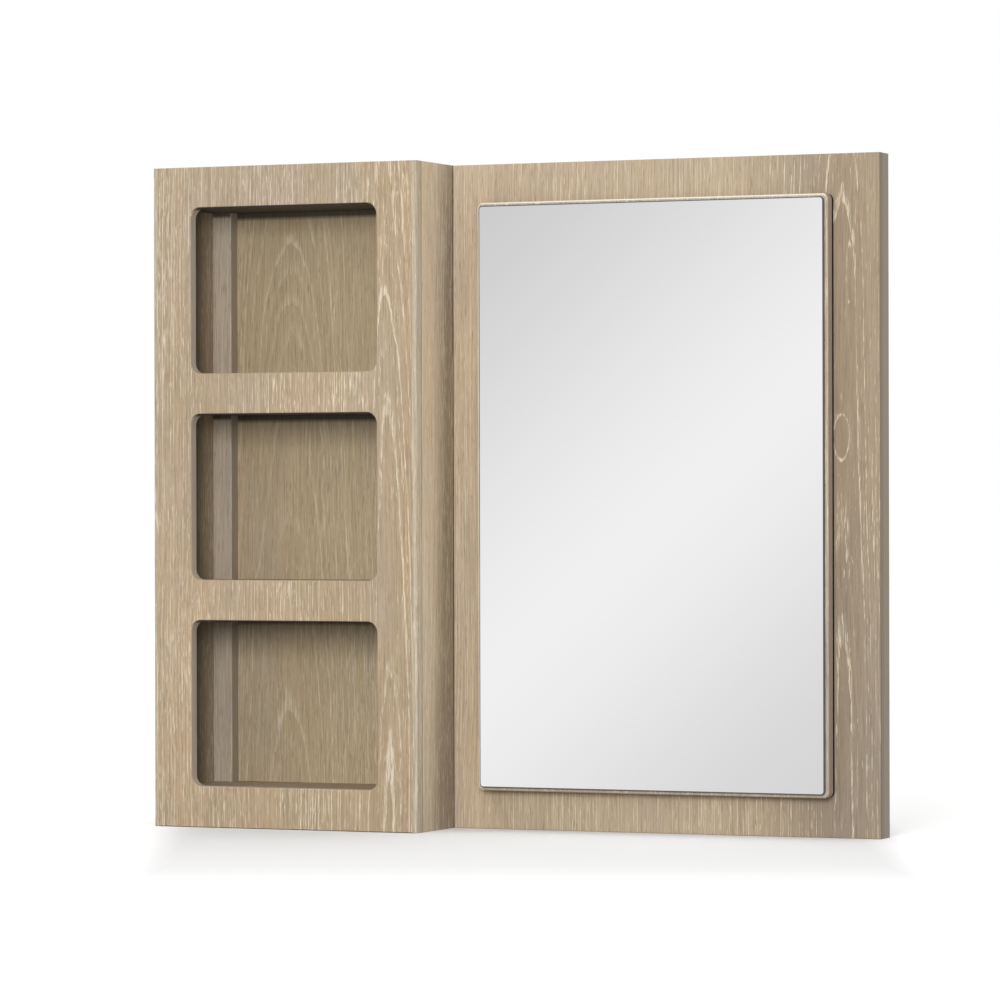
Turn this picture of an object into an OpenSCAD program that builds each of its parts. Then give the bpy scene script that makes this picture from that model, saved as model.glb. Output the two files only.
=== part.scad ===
// Mirror with a three-window shadow box, in limed oak.
// A thick oak-faced board carries the mirror pane on a proud round-cornered block. A deep open box
// with three windows stands in front of the board's left end. Hollow shelves, as thick as the
// rails of the window frame, divide the box. A rear frame ties the box and the board together.
// The front faces -Y, +X is to the viewer's right, +Z is up, millimetres.
// The origin is at the middle of the bounding box, on the surface that the object stands on.

/* [Whole] */
// Height of box and mirror board
overall_h = 1016; // [840:1:1240]
// Width over box and mirror board
overall_w = 1136; // [940:1:1370]

/* [Shadow box] */
// Width of the box
box_w = 446; // [370:1:540]
// How far the box stands out in front of the mirror board
box_d = 137; // [110:1:170]
// Thickness of the window frame
face_t = 18; // [12:1:25]
// Width of the window frame's left stile
stile_left_w = 64; // [50:1:80]
// Width of the window frame's right stile
stile_right_w = 67; // [50:1:80]
// Height of each of the four rails
rail_h = 63.5; // [52.5:0.5:78]
// Corner radius of the windows
window_r = 16; // [8:1:30]
// Rounding of the windows' front arris
window_arris = 2.5; // [1:0.5:4]
// Width of the solid lippings on the box's front corners
lipping_w = 8; // [4:1:14]
// Rounding of the box's front corners
corner_round = 3; // [1:0.5:5]
// Thickness of the box's side panels
side_t = 25; // [21:1:30]
// Thickness of the box's top and bottom panels
cap_t = 18; // [12:1:22]
// Thickness of liners and shelf skins
skin_t = 9; // [6:1:12]
// Width of the battens between two skins
batten_w = 25; // [18:1:32]
// How far a rail stands proud of the shelf or liner behind it
rail_lip = 1.6; // [0.5:0.1:3]

/* [Rear frame] */
// Thickness of the rear frame
frame_t = 25; // [20:1:32]
// Width of the rear frame's outer stiles and mirror rails
frame_w = 57; // [47:0.5:70]
// How far the rear frame's stiles show inside the compartments
post_w = 32; // [20:1:45]
// Thickness of the box's back panel
panel_t = 3; // [3:0.5:6]
// Width of the rabbet that holds the back panel
rabbet_w = 10; // [8:1:14]

/* [Mirror] */
// Thickness of the mirror board
board_t = 16; // [12:1:22]
// Thickness of the block that carries the pane
backer_t = 25; // [15:1:32]
// Space between the block and the mirror board's right end
backer_right_gap = 72; // [55:1:90]
// Space between the block and the box
backer_left_gap = 51; // [30:1:70]
// Space above and below the block
backer_end_gap = 60; // [45:1:80]
// Corner radius of the block
backer_r = 9; // [4:1:20]
// Rounding of the block's front arris
backer_arris = 3; // [1:0.5:5]
// Depth of the shadow gap round the block's back
block_gap = 7; // [2:0.5:8]
// How far that gap runs in under the block
block_gap_in = 8; // [4:1:14]
// Rim of the block that shows around the pane
pane_reveal = 5; // [2:0.5:10]
// Thickness of the pane
pane_t = 5; // [4:0.5:6]
// Corner radius of the pane
pane_r = 6; // [3:0.5:12]
// Width of the pane's ground bevel
pane_bevel = 1.6; // [0.8:0.1:2.5]
// Thickness of the bonding strips behind the pane
tape_t = 1; // [0.5:0.1:2]
// Width of the bonding strips
tape_w = 25; // [12:1:40]
// Number of bonding strips
tape_count = 4; // [2:1:6]

/* [Edges] */
// Rounding of the boards' other visible edges
board_arris = 1.5; // [0.5:0.5:3]
// Rounding of the two edges that meet at a joint, which shows as a fine groove
joint_arris = 0.6; // [0.3:0.1:1]
// Width of the shadow groove where the box meets the mirror board
box_groove = 2.5; // [1:0.5:4]
// Depth of that groove
box_groove_in = 4; // [2:0.5:5]

/* [Joints and screws] */
// Diameter of the dowels
dowel_d = 8; // [6:1:10]
// Length of the dowels
dowel_l = 36; // [30:2:40]
// Radial clearance of dowels, screws and inserts in the wood
fit_gap = 0.05; // [0.02:0.01:0.1]
// Shank diameter of the screws that hold the box
case_screw_d = 5; // [4:0.5:7]
// How deep those screws go into the side panels
case_screw_grip = 36; // [25:1:50]
// Shank diameter of the screws through frame and mirror board
board_screw_d = 4; // [3.5:0.5:5]
// How deep the frame's screws go into the mirror board
frame_screw_grip = 11; // [8:1:11]
// How deep the mirror board's screws go into the block
backer_screw_grip = 14; // [8:1:14]
// Diameter of the back panel's pins
pin_d = 1.6; // [1:0.1:2.5]
// Length of the back panel's pins
pin_l = 16; // [12:1:20]

/* [Hanging and fixing] */
// How far the hanger rings' pivot lies below the top
hanger_drop = 156; // [80:1:300]
// Width of a hanger strap
strap_w = 16; // [12:1:20]
// Thickness of a hanger strap
strap_t = 1.2; // [0.8:0.1:1.5]
// Length of a hanger strap below its loop
strap_l = 58; // [50:1:70]
// Wire diameter of a hanger ring
ring_wire_d = 3.2; // [2.5:0.1:4]
// Width of a hanger ring between its wire's centres
ring_w = 24; // [22:1:32]
// Straight part of a hanger ring's sides
ring_side = 5; // [3:1:8]
// Radial running clearance of the ring in its loop
ring_gap = 0.08; // [0.04:0.01:0.1]
// Space between the hanging ring and its strap
ring_clear = 0.3; // [0.3:0.1:0.5]
// Shank diameter of the hanger screws
hanger_screw_d = 4; // [3:0.5:5]
// Length of the hanger screws under their heads
hanger_screw_l = 18; // [12:1:20]
// Diameter of the bumpers that keep the object off a wall
bumper_d = 19; // [12:1:24]
// Distance of a bumper's centre from the top or the bottom
bumper_inset = 40; // [20:1:60]
// How far the bumpers stand out past the hangers
bumper_lead = 0.5; // [0.3:0.1:3]
// Height of the lower support insert above the base
insert_z = 90; // [80:1:120]
// Height between the two support inserts on one stile
insert_pitch = 160; // [100:1:200]
// Outer diameter of a support insert
insert_d = 10; // [8:1:12]
// Bore of a support insert
insert_bore_d = 5; // [4:0.5:6]
// Length of a support insert
insert_l = 13; // [8:1:16]

/* [Hidden] */

$fn = 48;
over = 1; // cutters reach this far past the faces they open
oak = "#b9a78e";
oak_inside = "#9a8b6e";
core_wood = "#c8b48c";
zinc = "#b4b6b8";
rubber = "#3a3a3a";
glass = "#d8dde0";
brass = "#c8a85a";

// Vertical planes across the width, from left to right
x_left = -overall_w / 2;
x_side_left = x_left + side_t;
x_post_left = x_side_left + post_w;
x_box = x_left + box_w;
x_side_right = x_box - side_t;
x_post_right = x_side_right - post_w;
x_right = overall_w / 2;
x_stile_right = x_right - frame_w;
x_mid_stile = x_box + batten_w;

// Ring and loop of a hanger, measured out from the frame's rear face
ring_wire_r = ring_wire_d / 2;
loop_bore_r = ring_wire_r + ring_gap;
loop_r = loop_bore_r + strap_t;
loop_out = strap_t + ring_clear + ring_wire_r;
bumper_t = loop_out + loop_r + bumper_lead;

// Vertical planes through the depth, from front to back
overall_d = box_d + board_t + frame_t + bumper_t;
y_front = -overall_d / 2;
y_face = y_front + face_t;
y_board = y_front + box_d;
y_frame = y_board + board_t;
y_rear = y_frame + frame_t;
y_panel = y_rear - panel_t;
y_dowel = y_frame + (frame_t - panel_t) / 2;

// Windows and what is behind the rails
window_count = 3; // the nodes name two shelves, so there are three windows
window_w = box_w - stile_left_w - stile_right_w;
window_h = (overall_h - rail_h * (window_count + 1)) / window_count;
window_x = x_left + stile_left_w + window_w / 2;
box_inner_w = box_w - 2 * side_t;
shelf_t = rail_h - 2 * rail_lip;
core_h = shelf_t - 2 * skin_t;
cap_stack = rail_h - rail_lip;
cap_core_h = cap_stack - cap_t - skin_t;
box_rail_h = cap_stack - skin_t;
batten_y = [y_face, (y_face + y_board - batten_w) / 2, y_board - batten_w];

// Mirror block and pane
backer_w = x_right - x_box - backer_left_gap - backer_right_gap;
backer_h = overall_h - 2 * backer_end_gap;
backer_x = x_box + backer_left_gap + backer_w / 2;
y_pane = y_board - backer_t - tape_t;
pane_w = backer_w - 2 * pane_reveal;
pane_h = backer_h - 2 * pane_reveal;

// Places of the fasteners
case_screw_z = [for (i = [0 : 3]) overall_h * (2 * i + 1) / 8];
frame_screw_z = [for (i = [0 : 4]) frame_w + 3 + i * (overall_h - 2 * frame_w - 6) / 4];
mirror_rail_z = [frame_w / 2, overall_h / 2, overall_h - frame_w / 2];
rail_screw_x = [for (i = [1 : 3]) x_mid_stile + i * (x_stile_right - x_mid_stile) / 4];
stile_screw_x = [x_mid_stile - batten_w / 2, x_stile_right + frame_w / 4];
backer_screw_x = [for (i = [-1 : 1]) backer_x + i * backer_w * 0.38];
backer_screw_z = [for (k = [-1, 1], i = [1, 3]) overall_h / 2 + k * i * backer_h * 0.13];
pin_corner_gap = 45; // from the back panel's corner to the first pin on its side
hanger_x = [x_left + frame_w / 2, x_right - frame_w / 2];
hanger_z = overall_h - hanger_drop;
loop_y = y_rear + loop_out;
hanger_screw_drop = [32, 48];
bumper_z = [bumper_inset, overall_h - bumper_inset];
case_screw_head_d = 1.8 * case_screw_d;
board_screw_head_d = 2 * board_screw_d;
screw_rim = 0.4; // upright rim of a countersunk head
recess_w = 1; // width of a driver recess's arms

function shelf_z(i) = i * (window_h + rail_h);

// ---------- shapes ----------

// Upright rectangular board between three pairs of planes
module board(x, y, z) {
    translate([x[0], y[0], z[0]])
        cube([x[1] - x[0], y[1] - y[0], z[1] - z[0]]);
}

// Flat outline with round corners, centred
module round_rect(w, h, r) {
    square([w - 2 * r, h], center = true);
    square([w, h - 2 * r], center = true);
    for (x = [-1, 1], y = [-1, 1])
        translate([x * (w / 2 - r), y * (h / 2 - r)]) circle(r);
}

// Places a flat thing upright: its own Z then points to the viewer, from the plane y
module facing_front(x, y, z) {
    translate([x, y, z]) rotate([90, 0, 0]) children();
}

// Waste beside a rounding, for an outer corner at the origin with the wood at -x and -y
module outer_round(e) {
    difference() {
        translate([-e, -e]) square(e + over);
        translate([-e, -e]) circle(e);
    }
}

// Waste of a bevel, for an outer corner at the origin with the glass at -x and -y
module outer_bevel(e) {
    polygon([[over, -e - over], [over, over], [-e - over, over]]);
}

// Waste beside a rounding, for the rim of an opening with the wood at +x and -y
module rim_round(e) {
    mirror([1, 0]) outer_round(e);
}

// Runs a flat profile round a rounded rectangle; its x points out of the outline
module run_round(w, h, r) {
    for (half = [0, 180]) {
        rotate(half) translate([w / 2, h / 2 - r, 0]) rotate([90, 0, 0])
            linear_extrude(h - 2 * r) children();
        rotate(half + 90) translate([h / 2, w / 2 - r, 0]) rotate([90, 0, 0])
            linear_extrude(w - 2 * r) children();
    }
    for (quarter = [0 : 3])
        translate([(w / 2 - r) * sign(cos(quarter * 90 + 45)),
                   (h / 2 - r) * sign(sin(quarter * 90 + 45)), 0])
            rotate(quarter * 90) rotate_extrude(angle = 90) translate([r, 0]) children();
}

// Rounds an upright edge; turn says on which side the wood lies
module ease_upright(x, y, turn, e) {
    translate([x, y, -over]) linear_extrude(overall_h + 2 * over) rotate(turn) outer_round(e);
}

// Rounds a level edge that runs across the width
module ease_level(x, y, z, turn, e) {
    translate([x[0] - over, y, z]) rotate([90, 0, 90])
        linear_extrude(x[1] - x[0] + 2 * over) rotate(turn) outer_round(e);
}

// Rounds the front top and front bottom edges of a full-height board
module ease_ends(x, y) {
    ease_level(x, y, overall_h, 90, board_arris);
    ease_level(x, y, 0, 180, board_arris);
}

// Points a screw or an insert to the front, its head on the plane y
module from_behind(x, y, z) {
    translate([x, y, z]) rotate([-90, 0, 0]) children();
}

// Countersunk screw, head upwards at the origin; top is how far the head's disc goes on above it
module screw_body(d, head_d, length, gap, top) {
    r = d / 2 + gap;
    head_r = head_d / 2 + gap;
    rotate_extrude()
        polygon([[0, top], [head_r, top], [head_r, -screw_rim], [r, -screw_rim - head_r + r],
                 [r, d - length], [0, -length - gap]]);
}

// Crossed driver recess, cut down from the plane of the head
module driver_recess(w, depth) {
    for (turn = [0, 90])
        rotate(turn) translate([-w / 2, -recess_w / 2, -depth]) cube([w, recess_w, depth + over]);
}

module screw(d, head_d, length) {
    difference() {
        screw_body(d, head_d, length, 0, 0);
        driver_recess(head_d * 0.55, d * 0.35);
    }
}

// Way for that screw, open at the head
module screw_way(d, head_d, length) {
    screw_body(d, head_d, length, fit_gap, over);
}

// Dowel across the width, centred on a joint plane
module dowel(x, y, z, gap) {
    translate([x - dowel_l / 2 - gap, y, z]) rotate([0, 90, 0])
        cylinder(h = dowel_l + 2 * gap, d = dowel_d + 2 * gap);
}

// ---------- places ----------

// Dowels between the side panels and the battens of the caps and the shelves
module cap_dowels(gap) {
    for (x = [x_side_left, x_side_right], y = batten_y,
         z = [cap_t + cap_core_h / 2, overall_h - cap_t - cap_core_h / 2])
        dowel(x, y + batten_w / 2, z, gap);
}

module core_dowels(gap) {
    for (x = [x_side_left, x_side_right], y = batten_y, i = [1 : window_count - 1])
        dowel(x, y + batten_w / 2, shelf_z(i) + rail_h / 2, gap);
}

// Dowels between the rear frame's rails and stiles
module rail_dowels(gap) {
    for (x = [x_post_left, x_post_right], z = [box_rail_h / 2, overall_h - box_rail_h / 2],
         dz = [-1, 1])
        dowel(x, y_dowel, z + dz * box_rail_h / 4, gap);
    for (x = [x_mid_stile, x_stile_right], z = mirror_rail_z, dz = [-1, 1])
        dowel(x, y_dowel, z + dz * frame_w / 4, gap);
}

// Screws through the rear frame into the side panels; the right ones cross the mirror board too
module at_case_screws() {
    for (z = case_screw_z) {
        from_behind(x_left + side_t / 2, y_rear, z)
            children(0);
        from_behind(x_box - side_t / 2, y_rear, z)
            children(1);
    }
}

module case_screw_ways() {
    at_case_screws() {
        screw_way(case_screw_d, case_screw_head_d, frame_t + case_screw_grip);
        screw_way(case_screw_d, case_screw_head_d, frame_t + board_t + case_screw_grip);
    }
}

// Screws through the rear frame into the mirror board
module at_frame_screws() {
    for (x = stile_screw_x, z = frame_screw_z) from_behind(x, y_rear, z) children();
    for (x = rail_screw_x, z = mirror_rail_z) from_behind(x, y_rear, z) children();
}

module frame_screw_ways() {
    at_frame_screws() screw_way(board_screw_d, board_screw_head_d, frame_t + frame_screw_grip);
}

// Screws through the mirror board into the block
module at_backer_screws() {
    for (x = backer_screw_x, z = backer_screw_z) from_behind(x, y_frame, z) children();
}

module backer_screw_ways() {
    at_backer_screws() screw_way(board_screw_d, board_screw_head_d, board_t + backer_screw_grip);
}

// Pins of the back panel, in the middle of its rabbet
module panel_pins(gap) {
    inset = rabbet_w / 2;
    z_low = box_rail_h - inset;
    z_high = overall_h - z_low;
    pitch = (z_high - z_low - 2 * pin_corner_gap) / 4;
    for (x = [x_post_left - inset, x_post_right + inset], i = [0 : 4])
        panel_pin(x, z_low + pin_corner_gap + i * pitch, gap);
    for (z = [z_low, z_high], i = [1 : 3])
        panel_pin(x_post_left + i * (x_post_right - x_post_left) / 4, z, gap);
}

module panel_pin(x, z, gap) {
    from_behind(x, y_rear, z) translate([0, 0, -pin_l - gap])
        cylinder(h = pin_l + (gap > 0 ? over : 0), d = pin_d + 2 * gap);
}

// Threaded inserts low on the outer stiles
module at_inserts() {
    for (x = hanger_x, z = [insert_z, insert_z + insert_pitch])
        from_behind(x, y_rear, z) children();
}

module insert_ways() {
    at_inserts() translate([0, 0, -insert_l - 1])
        cylinder(h = insert_l + 1 + over, d = insert_d + 2 * fit_gap);
}

module at_hanger_screws() {
    for (x = hanger_x, drop = hanger_screw_drop) from_behind(x, y_rear, hanger_z - drop) children();
}

module hanger_screw_ways() {
    depth = hanger_screw_l - strap_t + fit_gap;
    at_hanger_screws() translate([0, 0, -depth])
        cylinder(h = depth + over, d = hanger_screw_d + 2 * fit_gap);
}

// ---------- shadow box ----------

module face_frame() {
    x = [x_left + lipping_w, x_box - lipping_w];
    color(oak) difference() {
        board(x, [y_front, y_face], [0, overall_h]);
        for (i = [0 : window_count - 1])
            facing_front(window_x, y_face, shelf_z(i) + rail_h + window_h / 2) {
                translate([0, 0, -over]) linear_extrude(face_t + 2 * over)
                    round_rect(window_w, window_h, window_r);
                translate([0, 0, face_t]) run_round(window_w, window_h, window_r)
                    rim_round(window_arris);
            }
        ease_ends(x, y_front);
        ease_upright(x[0], y_front, 180, joint_arris);
        ease_upright(x[1], y_front, 270, joint_arris);
    }
}

// Strip on a front corner; side is -1 on the left and 1 on the right
module corner_lipping(side) {
    outer_x = side < 0 ? x_left : x_box;
    x = side < 0 ? [x_left, x_left + lipping_w] : [x_box - lipping_w, x_box];
    color(oak) difference() {
        board(x, [y_front, y_face], [0, overall_h]);
        ease_upright(outer_x, y_front, side < 0 ? 180 : 270, corner_round);
        ease_upright(outer_x - side * lipping_w, y_front, side < 0 ? 270 : 180, joint_arris);
        ease_ends(x, y_front);
    }
}

module corner_lipping_left() { corner_lipping(-1); }
module corner_lipping_right() { corner_lipping(1); }

module side_panel_left() {
    color(oak) difference() {
        board([x_left, x_side_left], [y_face, y_frame], [0, overall_h]);
        cap_dowels(fit_gap);
        core_dowels(fit_gap);
        case_screw_ways();
    }
}

module side_panel_right() {
    color(oak) difference() {
        board([x_side_right, x_box], [y_face, y_board], [0, overall_h]);
        board([x_box - box_groove_in, x_box + over], [y_board - box_groove, y_board + over],
              [-over, overall_h + over]);
        cap_dowels(fit_gap);
        core_dowels(fit_gap);
        case_screw_ways();
    }
}

// Outer cap of the box between its side panels
module cap(z) {
    color(oak) board([x_side_left, x_side_right], [y_face, y_frame], [z, z + cap_t]);
}

module top_panel() { cap(overall_h - cap_t); }
module bottom_panel() { cap(0); }

// Skin of a shelf, a ceiling or a floor: it runs back between the posts to the back panel
module skin(z) {
    color(oak_inside) {
        board([x_side_left, x_side_right], [y_face, y_frame], [z, z + skin_t]);
        board([x_post_left, x_post_right], [y_face, y_panel], [z, z + skin_t]);
    }
}

module top_liner() { skin(overall_h - cap_stack); }
module floor_liner() { skin(cap_stack - skin_t); }
module lower_shelf_bottom_skin() { skin(shelf_z(1) + rail_lip); }
module lower_shelf_top_skin() { skin(shelf_z(1) + rail_h - rail_lip - skin_t); }
module upper_shelf_bottom_skin() { skin(shelf_z(2) + rail_lip); }
module upper_shelf_top_skin() { skin(shelf_z(2) + rail_h - rail_lip - skin_t); }

// Three battens that keep two skins apart, doweled to the side panels
module battens(z, h) {
    color(core_wood) difference() {
        for (y = batten_y)
            board([x_side_left, x_side_right], [y, y + batten_w], [z, z + h]);
        cap_dowels(fit_gap);
        core_dowels(fit_gap);
    }
}

module top_battens() { battens(overall_h - cap_t - cap_core_h, cap_core_h); }
module bottom_battens() { battens(cap_t, cap_core_h); }
module lower_shelf_core() { battens(shelf_z(1) + rail_lip + skin_t, core_h); }
module upper_shelf_core() { battens(shelf_z(2) + rail_lip + skin_t, core_h); }

// Space of the back panel in the rear frame's rabbets
module panel_space(gap) {
    board([x_post_left - rabbet_w - gap, x_post_right + rabbet_w + gap],
          [y_panel, y_rear + (gap > 0 ? over : 0)],
          [box_rail_h - rabbet_w - gap, overall_h - box_rail_h + rabbet_w + gap]);
}

module box_back_panel() {
    color(oak_inside) difference() {
        panel_space(0);
        panel_pins(fit_gap);
    }
}

module back_panel_pins() { color(zinc) panel_pins(0); }

// ---------- rear frame ----------

// Full-height stile with the ways of everything that enters it
module back_stile(x, y_eased) {
    color(oak) difference() {
        board(x, [y_frame, y_rear], [0, overall_h]);
        rail_dowels(fit_gap);
        case_screw_ways();
        frame_screw_ways();
        insert_ways();
        hanger_screw_ways();
        panel_space(fit_gap);
        panel_pins(fit_gap);
        children();
    }
}

module back_stile_left() {
    back_stile([x_left, x_post_left]) ease_upright(x_post_left, y_frame, 270, board_arris);
}

module back_stile_middle() {
    back_stile([x_post_right, x_mid_stile]) ease_upright(x_post_right, y_frame, 180, board_arris);
}

module back_stile_right() {
    back_stile([x_stile_right, x_right]) ease_upright(x_right, y_frame, 270, joint_arris);
}

// Rail between two stiles
module back_rail(x, z) {
    color(oak) difference() {
        board(x, [y_frame, y_rear], z);
        rail_dowels(fit_gap);
        frame_screw_ways();
        panel_space(fit_gap);
        panel_pins(fit_gap);
    }
}

module box_rail_top() {
    back_rail([x_post_left, x_post_right], [overall_h - box_rail_h, overall_h]);
}
module box_rail_bottom() { back_rail([x_post_left, x_post_right], [0, box_rail_h]); }

module mirror_rail(i) {
    back_rail([x_mid_stile, x_stile_right],
              [mirror_rail_z[i] - frame_w / 2, mirror_rail_z[i] + frame_w / 2]);
}

module mirror_rail_bottom() { mirror_rail(0); }
module mirror_rail_middle() { mirror_rail(1); }
module mirror_rail_top() { mirror_rail(2); }

// ---------- mirror ----------

module mirror_board() {
    x = [x_side_right, x_right];
    color(oak) difference() {
        board(x, [y_board, y_frame], [0, overall_h]);
        ease_upright(x_right, y_board, 270, board_arris);
        ease_upright(x_right, y_frame, 0, joint_arris);
        ease_ends([x_box + over, x_right], y_board);
        case_screw_ways();
        frame_screw_ways();
        backer_screw_ways();
    }
}

module mirror_backer() {
    color(oak) difference() {
        facing_front(backer_x, y_board, overall_h / 2) difference() {
            linear_extrude(backer_t) round_rect(backer_w, backer_h, backer_r);
            translate([0, 0, backer_t]) run_round(backer_w, backer_h, backer_r)
                outer_round(backer_arris);
            translate([0, 0, -over]) linear_extrude(block_gap + over) difference() {
                round_rect(backer_w + 2 * over, backer_h + 2 * over, backer_r);
                round_rect(backer_w - 2 * block_gap_in, backer_h - 2 * block_gap_in, backer_r);
            }
        }
        backer_screw_ways();
    }
}

// Upright bonding strips, spread evenly behind the pane
module mirror_tape() {
    pitch = (pane_w - 2 * tape_w) / (tape_count - 1);
    color(rubber) for (i = [0 : tape_count - 1])
        facing_front(backer_x - pane_w / 2 + tape_w + i * pitch, y_pane + tape_t, overall_h / 2)
            linear_extrude(tape_t) square([tape_w, pane_h - 2 * tape_w], center = true);
}

module mirror_glass() {
    color(glass) facing_front(backer_x, y_pane, overall_h / 2) difference() {
        linear_extrude(pane_t) round_rect(pane_w, pane_h, pane_r);
        translate([0, 0, pane_t]) run_round(pane_w, pane_h, pane_r) outer_bevel(pane_bevel);
    }
}

// ---------- fasteners ----------

module case_dowels() { color(core_wood) cap_dowels(0); }
module shelf_dowels() { color(core_wood) core_dowels(0); }
module frame_dowels() { color(core_wood) rail_dowels(0); }

module case_screws() {
    color(zinc) at_case_screws() {
        screw(case_screw_d, case_screw_head_d, frame_t + case_screw_grip);
        screw(case_screw_d, case_screw_head_d, frame_t + board_t + case_screw_grip);
    }
}

module frame_screws() {
    color(zinc) at_frame_screws()
        screw(board_screw_d, board_screw_head_d, frame_t + frame_screw_grip);
}

module backer_screws() {
    color(zinc) at_backer_screws()
        screw(board_screw_d, board_screw_head_d, board_t + backer_screw_grip);
}

// ---------- hanging and fixing hardware ----------

// Sheet strap with a round loop at its top and two screw holes
module hanger_strap(x) {
    color(zinc) {
        from_behind(x, y_rear, hanger_z) linear_extrude(strap_t) difference() {
            union() {
                translate([-strap_w / 2, 0]) square([strap_w, strap_l - strap_w / 2]);
                translate([0, strap_l - strap_w / 2]) circle(strap_w / 2);
            }
            for (drop = hanger_screw_drop)
                translate([0, drop]) circle(d = hanger_screw_d + 2 * fit_gap);
        }
        translate([x - strap_w / 2, loop_y, hanger_z]) rotate([90, 0, 90])
            linear_extrude(strap_w) difference() {
                circle(loop_r);
                circle(loop_bore_r);
            }
    }
}

module hanger_strap_left() { hanger_strap(hanger_x[0]); }
module hanger_strap_right() { hanger_strap(hanger_x[1]); }

// D-shaped wire ring, hanging from the straight leg that turns in the strap's loop
module hanger_ring(x) {
    half = ring_w / 2;
    color(zinc) translate([x, loop_y, hanger_z]) {
        translate([-half, 0, 0]) rotate([0, 90, 0]) cylinder(h = ring_w, r = ring_wire_r);
        for (side = [-1, 1]) {
            translate([side * half, 0, 0]) sphere(ring_wire_r);
            translate([side * half, 0, -ring_side]) cylinder(h = ring_side, r = ring_wire_r);
        }
        translate([0, 0, -ring_side]) rotate([90, 0, 0]) rotate([0, 0, 180])
            rotate_extrude(angle = 180) translate([half, 0]) circle(ring_wire_r);
    }
}

module hanger_ring_left() { hanger_ring(hanger_x[0]); }
module hanger_ring_right() { hanger_ring(hanger_x[1]); }

// Pan-head screws of the straps
module hanger_screws() {
    r = hanger_screw_d / 2;
    head_h = 1.1 * r;
    color(zinc) at_hanger_screws() translate([0, 0, strap_t]) difference() {
        rotate_extrude()
            polygon([[0, head_h], [r, 0.9 * head_h], [1.6 * r, 0.55 * head_h], [1.8 * r, 0], [r, 0],
                     [r, 2 * r - hanger_screw_l], [0, -hanger_screw_l]]);
        translate([0, 0, head_h]) driver_recess(2.2 * r, 0.7 * head_h);
    }
}

// Threaded inserts for the boards that tie the object to a dresser
module support_inserts() {
    color(brass) at_inserts() translate([0, 0, -insert_l]) difference() {
        cylinder(h = insert_l, d = insert_d);
        translate([0, 0, -over]) cylinder(h = insert_l + 2 * over, d = insert_bore_d);
    }
}

// Soft round bumpers on the rear frame's corners
module wall_bumpers() {
    r = bumper_d / 2;
    edge = 1.5;
    color(rubber) for (x = hanger_x, z = bumper_z)
        from_behind(x, y_rear, z) rotate_extrude() {
            square([r, bumper_t - edge]);
            square([r - edge, bumper_t]);
            translate([r - edge, bumper_t - edge]) circle(edge);
        }
}

face_frame();
corner_lipping_left();
corner_lipping_right();
side_panel_left();
side_panel_right();
top_panel();
top_liner();
top_battens();
bottom_panel();
floor_liner();
bottom_battens();
upper_shelf_top_skin();
upper_shelf_bottom_skin();
upper_shelf_core();
lower_shelf_top_skin();
lower_shelf_bottom_skin();
lower_shelf_core();
box_back_panel();
back_panel_pins();
back_stile_left();
back_stile_middle();
back_stile_right();
box_rail_top();
box_rail_bottom();
mirror_rail_top();
mirror_rail_middle();
mirror_rail_bottom();
mirror_board();
mirror_backer();
mirror_tape();
mirror_glass();
case_dowels();
shelf_dowels();
frame_dowels();
case_screws();
frame_screws();
backer_screws();
hanger_strap_left();
hanger_strap_right();
hanger_screws();
hanger_ring_left();
hanger_ring_right();
support_inserts();
wall_bumpers();
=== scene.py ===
"""Mirror with a three-window shadow box in limed oak, dressed for a studio photograph."""

import math

import bpy
from mathutils import Matrix, Vector


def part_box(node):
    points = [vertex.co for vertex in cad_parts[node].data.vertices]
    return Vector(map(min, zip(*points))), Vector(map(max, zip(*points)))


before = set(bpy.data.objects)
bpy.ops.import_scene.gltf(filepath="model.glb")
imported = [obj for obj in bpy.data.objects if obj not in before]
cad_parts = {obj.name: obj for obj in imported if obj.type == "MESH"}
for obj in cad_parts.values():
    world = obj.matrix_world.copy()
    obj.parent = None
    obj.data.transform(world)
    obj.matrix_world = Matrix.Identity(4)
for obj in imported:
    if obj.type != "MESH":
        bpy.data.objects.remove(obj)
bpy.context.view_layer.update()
bpy.ops.object.select_all(action="DESELECT")


# ---------- window frame ----------
# One sheet of veneered board with three routed windows, so the grain stands upright on rails and
# stiles alike. The veneer is limed oak: brushed until its pores open, rubbed with white wax that
# stays in them, then matt lacquered.

# Near-black colour for painted shade
painted_shade_colour = "#1A140F"


def linear(code):
    """Turns an sRGB hex colour to linear RGBA."""
    values = [int(code[i : i + 2], 16) / 255 for i in (1, 3, 5)]
    return [v / 12.92 if v <= 0.04045 else ((v + 0.055) / 1.055) ** 2.4 for v in values] + [1]


def add(tree, kind, inputs=None, **settings):
    """Adds a node with its settings; an input takes a value, or is linked to another's socket.

    Sockets 6 and 7 of a Mix node are its two colours, and its output 2 is the mixed colour.
    """
    node = tree.nodes.new("ShaderNode" + kind)
    for name, value in settings.items():
        setattr(node, name, value)
    for name, value in (inputs or {}).items():
        if isinstance(value, bpy.types.NodeSocket):
            tree.links.new(value, node.inputs[name])
        else:
            node.inputs[name].default_value = value
    return node


def blank_material(name):
    """Makes a material whose node tree is empty, and gives both."""
    material = bpy.data.materials.new(name)
    material.use_nodes = True
    material.node_tree.nodes.clear()
    return material, material.node_tree


def grey(level):
    """A linear grey."""
    return (level, level, level, 1)


def set_stops(node, stops):
    """Sets the stops of a colour ramp, from positions and colours."""
    ends = node.color_ramp.elements
    for end, (position, colour) in zip(ends, (stops[0], stops[-1])):
        end.position, end.color = position, colour
    for position, colour in stops[1:-1]:
        ends.new(position).color = colour


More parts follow.
